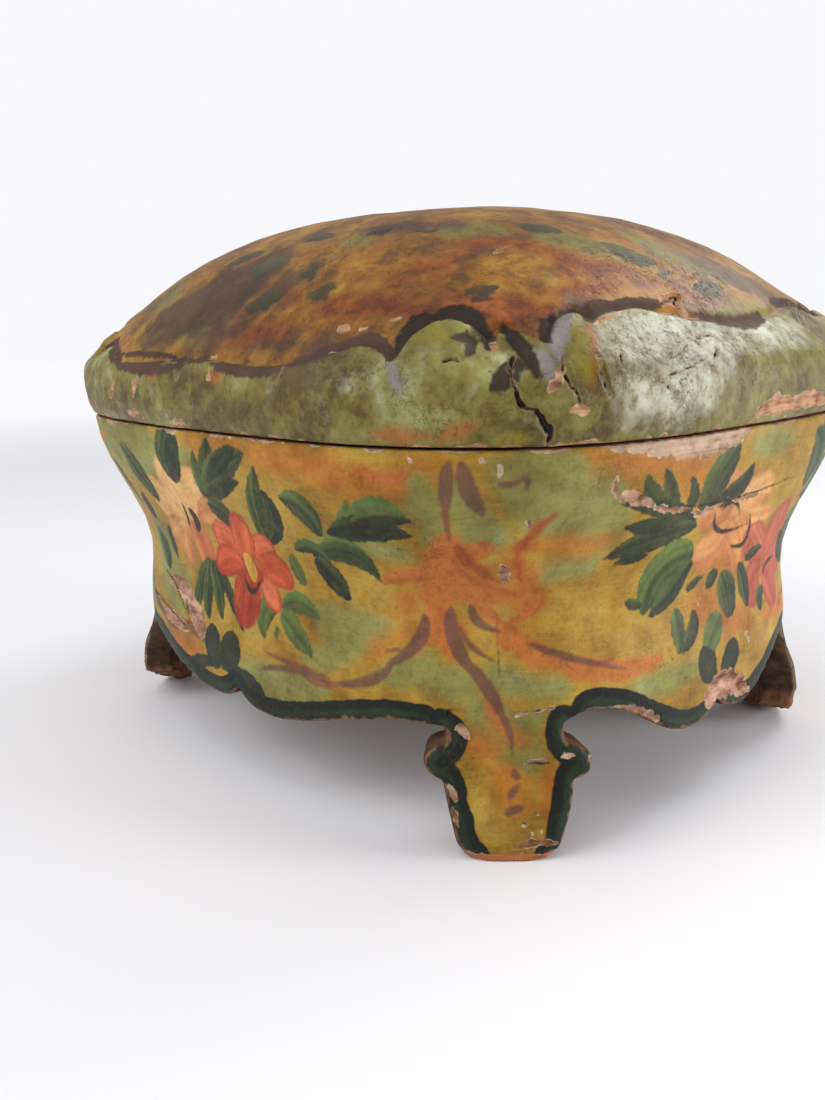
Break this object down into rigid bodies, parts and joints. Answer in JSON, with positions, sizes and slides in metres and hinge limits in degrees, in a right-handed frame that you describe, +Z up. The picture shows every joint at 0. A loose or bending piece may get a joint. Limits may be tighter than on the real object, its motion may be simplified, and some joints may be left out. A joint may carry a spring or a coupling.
{
  "type": "jewelry box",
  "caption": "Painted wooden jewelry box with a waisted body, scalloped apron, carved bracket feet and a hinged, domed lid.",
  "frame": {"origin": "on the table, under the middle of the box", "axes": "+X to the right along the box's length, +Y to the back where the hinges are, +Z up"},
  "size_m": [0.2544, 0.2184, 0.1809],
  "materials": {
    "painted_body": "old painted and varnished wood, chipped",
    "painted_feet": "old painted wood, worn to gesso and bare wood",
    "painted_rails": "old olive-green paint and varnish, crackled",
    "painted_top": "old ochre paint under dark varnish",
    "bare_wood": "old bare softwood, darkened",
    "hinge_brass": "dull old brass",
    "screw_iron": "dark iron"
  },
  "bodies": {
    "box": {"front_board": "painted_body", "back_board": "painted_body", "left_board": "painted_body", "right_board": "painted_body", "base_board": "bare_wood", "foot_front_left": "painted_feet", "foot_front_right": "painted_feet", "foot_back_left": "painted_feet", "foot_back_right": "painted_feet", "box_leaf_left": "hinge_brass", "box_leaf_right": "hinge_brass", "hinge_pin_left": "hinge_brass", "hinge_pin_right": "hinge_brass", "box_hinge_screws": "screw_iron"},
    "lid": {"lid_front_rail": "painted_rails", "lid_back_rail": "painted_rails", "lid_left_rail": "painted_rails", "lid_right_rail": "painted_rails", "lid_top": "painted_top", "lid_leaf_left": "hinge_brass", "lid_leaf_right": "hinge_brass", "lid_hinge_screws": "screw_iron"}
  },
  "joints": [
    {"name": "lid_hinge", "type": "hinge", "parent": "box", "child": "lid", "pos_m": [0, 0.1047, 0.1147], "axis": [-1, 0, 0], "range_deg": [0, 105]}
  ]
}
